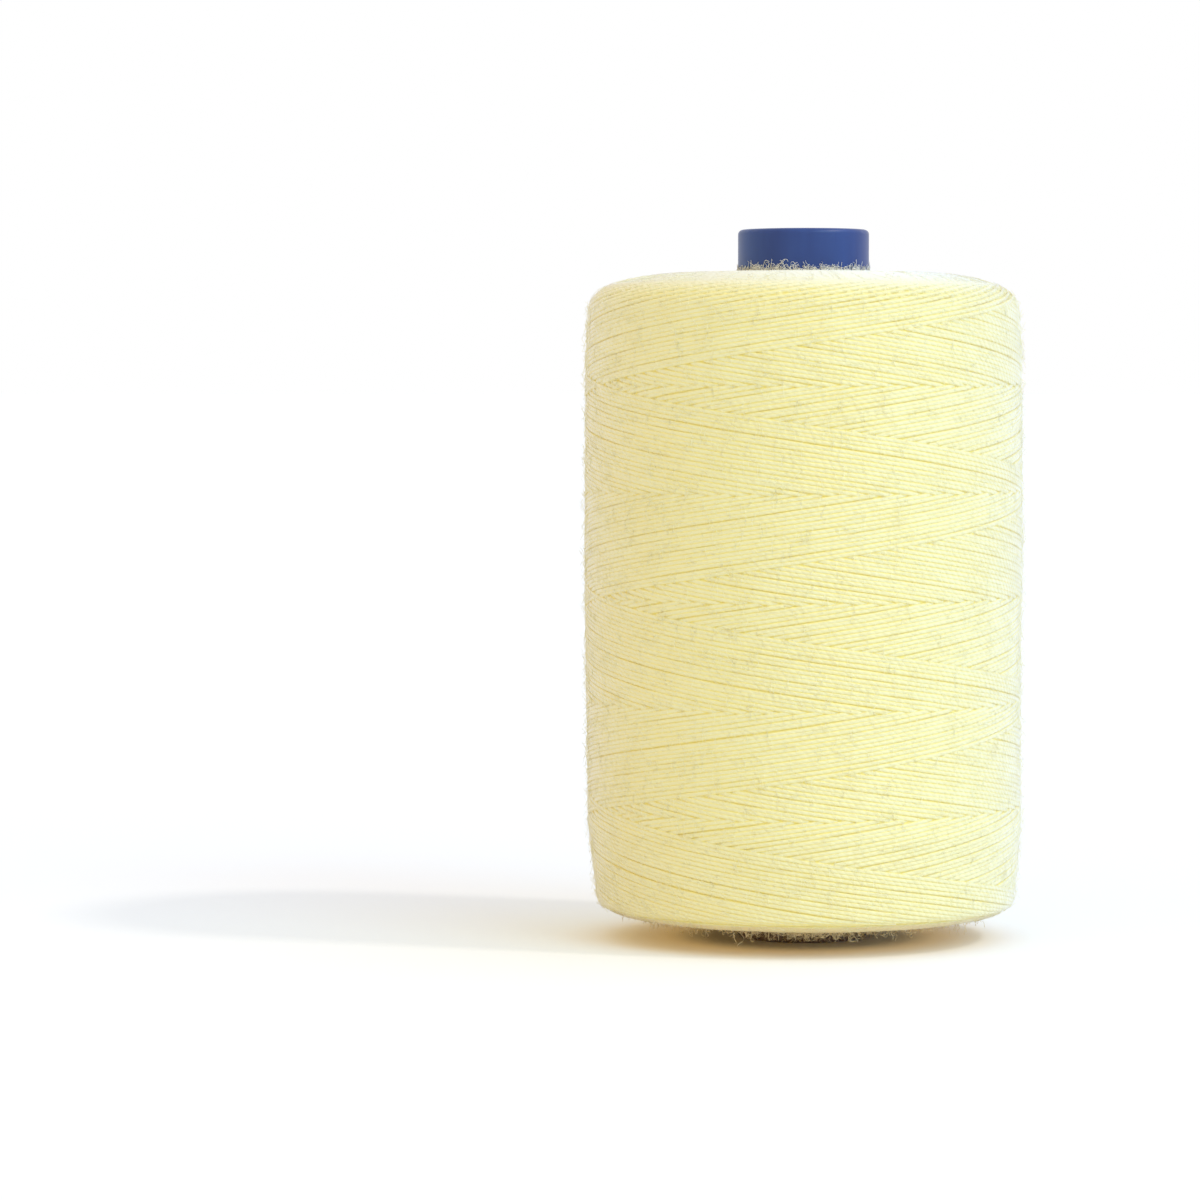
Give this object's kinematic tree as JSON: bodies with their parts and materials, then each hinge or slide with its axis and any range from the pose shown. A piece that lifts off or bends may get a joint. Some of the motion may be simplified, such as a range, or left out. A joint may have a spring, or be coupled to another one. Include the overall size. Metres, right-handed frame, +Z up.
{
  "type": "spool of thread",
  "caption": "Cross-wound package of pale yellow sewing thread on a plain blue tube, whose bore goes over a spool pin.",
  "frame": {"origin": "middle of the tube's lower rim, on the surface that the spool stands on", "axes": "+Z up along the tube's bore; the winding is round, so +X is any direction across it, and the turns start and stop on the +Y side"},
  "size_m": [0.04, 0.04, 0.065],
  "materials": {
    "tube_plastic": "satin",
    "thread": "matte"
  },
  "bodies": {
    "root": {"spool_tube": "tube_plastic", "inner_winding": "thread", "outer_winding": "thread"}
  },
  "joints": []
}
